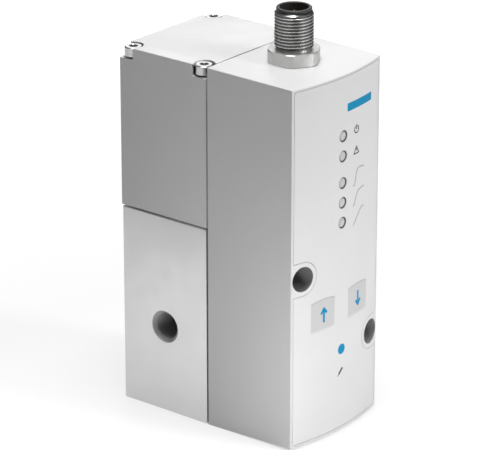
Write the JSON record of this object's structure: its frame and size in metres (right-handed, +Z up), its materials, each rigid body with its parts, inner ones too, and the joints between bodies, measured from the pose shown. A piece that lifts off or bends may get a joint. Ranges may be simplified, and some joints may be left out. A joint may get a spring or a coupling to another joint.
{
  "type": "electro pneumatic regulator",
  "caption": "Upright pressure regulator: metal valve block with threaded ports, plastic pilot cap, electronics housing with curved keypad film, and a round plug connector on top.",
  "frame": {"origin": "middle of the bounding box in plan, at the base plane", "axes": "+Z up through the connector, -Y towards the keypad, -X towards the supply port"},
  "size_m": [0.0448, 0.0696, 0.1348],
  "materials": {
    "satin_aluminium": "satin anodised aluminium",
    "pale_plastic": "pale grey moulded plastic",
    "printed_film": "satin polyester film, printed",
    "clear_lens": "moulded light guide",
    "nickel_plate": "nickel-plated brass, satin",
    "steel": "zinc-plated or stainless steel",
    "brass": "turned brass",
    "gold_plate": "gold-plated brass",
    "black_plastic": "black moulded plastic",
    "rubber": "black nitrile rubber",
    "circuit_board": "green glass-fibre board",
    "flat_cable": "white flat cable"
  },
  "bodies": {
    "casing": {"valve_block": "satin_aluminium", "closing_plug": "satin_aluminium", "pilot_manifold": "satin_aluminium", "electronics_housing": "pale_plastic", "pilot_cap": "pale_plastic", "keypad_overlay": "printed_film", "power_lens": "clear_lens", "error_lens": "clear_lens", "fast_lens": "clear_lens", "medium_lens": "clear_lens", "slow_lens": "clear_lens", "connector_shell": "nickel_plate", "connector_locknut": "nickel_plate", "cap_screw_1": "steel", "cap_screw_2": "steel", "cap_screw_3": "steel", "cap_screw_4": "steel", "housing_screw_1": "steel", "housing_screw_2": "steel", "housing_screw_3": "steel", "housing_screw_4": "steel", "piston_spring": "steel", "poppet_spring": "steel", "supply_pilot_armature_spring": "steel", "exhaust_pilot_armature_spring": "steel", "pressure_sensor": "steel", "supply_pilot_core_tube": "brass", "exhaust_pilot_core_tube": "brass", "contact_pin_1": "gold_plate", "contact_pin_2": "gold_plate", "contact_pin_3": "gold_plate", "contact_pin_4": "gold_plate", "contact_pin_5": "gold_plate", "contact_pin_6": "gold_plate", "contact_pin_7": "gold_plate", "contact_pin_8": "gold_plate", "connector_insert": "black_plastic", "supply_pilot_coil": "black_plastic", "exhaust_pilot_coil": "black_plastic", "up_switch": "black_plastic", "down_switch": "black_plastic", "edit_switch": "black_plastic", "diaphragm": "rubber", "plug_o_ring": "rubber", "connector_seal": "rubber", "housing_gasket": "rubber", "main_board": "circuit_board", "connector_board": "circuit_board", "valve_flat_cable": "flat_cable"},
    "main_piston": {"piston_rod": "brass", "upper_plate": "brass", "plate_nut": "steel"},
    "poppet": {"valve_poppet": "brass", "poppet_seal": "rubber"},
    "supply_armature": {"supply_pilot_armature": "steel"},
    "exhaust_armature": {"exhaust_pilot_armature": "steel"},
    "up_key_body": {"up_key": "black_plastic"},
    "down_key_body": {"down_key": "black_plastic"},
    "edit_key_body": {"edit_key": "black_plastic"}
  },
  "joints": [
    {"name": "piston_slide", "type": "slide", "parent": "casing", "child": "main_piston", "axis": [0, 0, -1], "range_m": [0, 0.002], "stiffness_N_per_m": 2000, "springref_m": -0.002, "deforming": ["piston_spring", "diaphragm"]},
    {"name": "poppet_slide", "type": "slide", "parent": "casing", "child": "poppet", "axis": [0, 0, -1], "range_m": [0, 0.0012], "stiffness_N_per_m": 500, "springref_m": -0.003, "deforming": ["poppet_spring"]},
    {"name": "supply_armature_slide", "type": "slide", "parent": "casing", "child": "supply_armature", "axis": [0, 0, 1], "range_m": [0, 0.0006], "stiffness_N_per_m": 1000, "springref_m": -0.002, "deforming": ["supply_pilot_armature_spring"]},
    {"name": "exhaust_armature_slide", "type": "slide", "parent": "casing", "child": "exhaust_armature", "axis": [0, 0, 1], "range_m": [0, 0.0006], "stiffness_N_per_m": 1000, "springref_m": -0.002, "deforming": ["exhaust_pilot_armature_spring"]},
    {"name": "up_key_press", "type": "slide", "parent": "casing", "child": "up_key_body", "axis": [0, 1, 0], "range_m": [0, 0.0003], "stiffness_N_per_m": 3000, "springref_m": -0.0003},
    {"name": "down_key_press", "type": "slide", "parent": "casing", "child": "down_key_body", "axis": [0, 1, 0], "range_m": [0, 0.0003], "stiffness_N_per_m": 3000, "springref_m": -0.0003},
    {"name": "edit_key_press", "type": "slide", "parent": "casing", "child": "edit_key_body", "axis": [0, 1, 0], "range_m": [0, 0.0003], "stiffness_N_per_m": 3000, "springref_m": -0.0003}
  ],
  "couplings": [
    {"joint": "poppet_slide", "follows": "piston_slide", "ratio": 0.6}
  ]
}
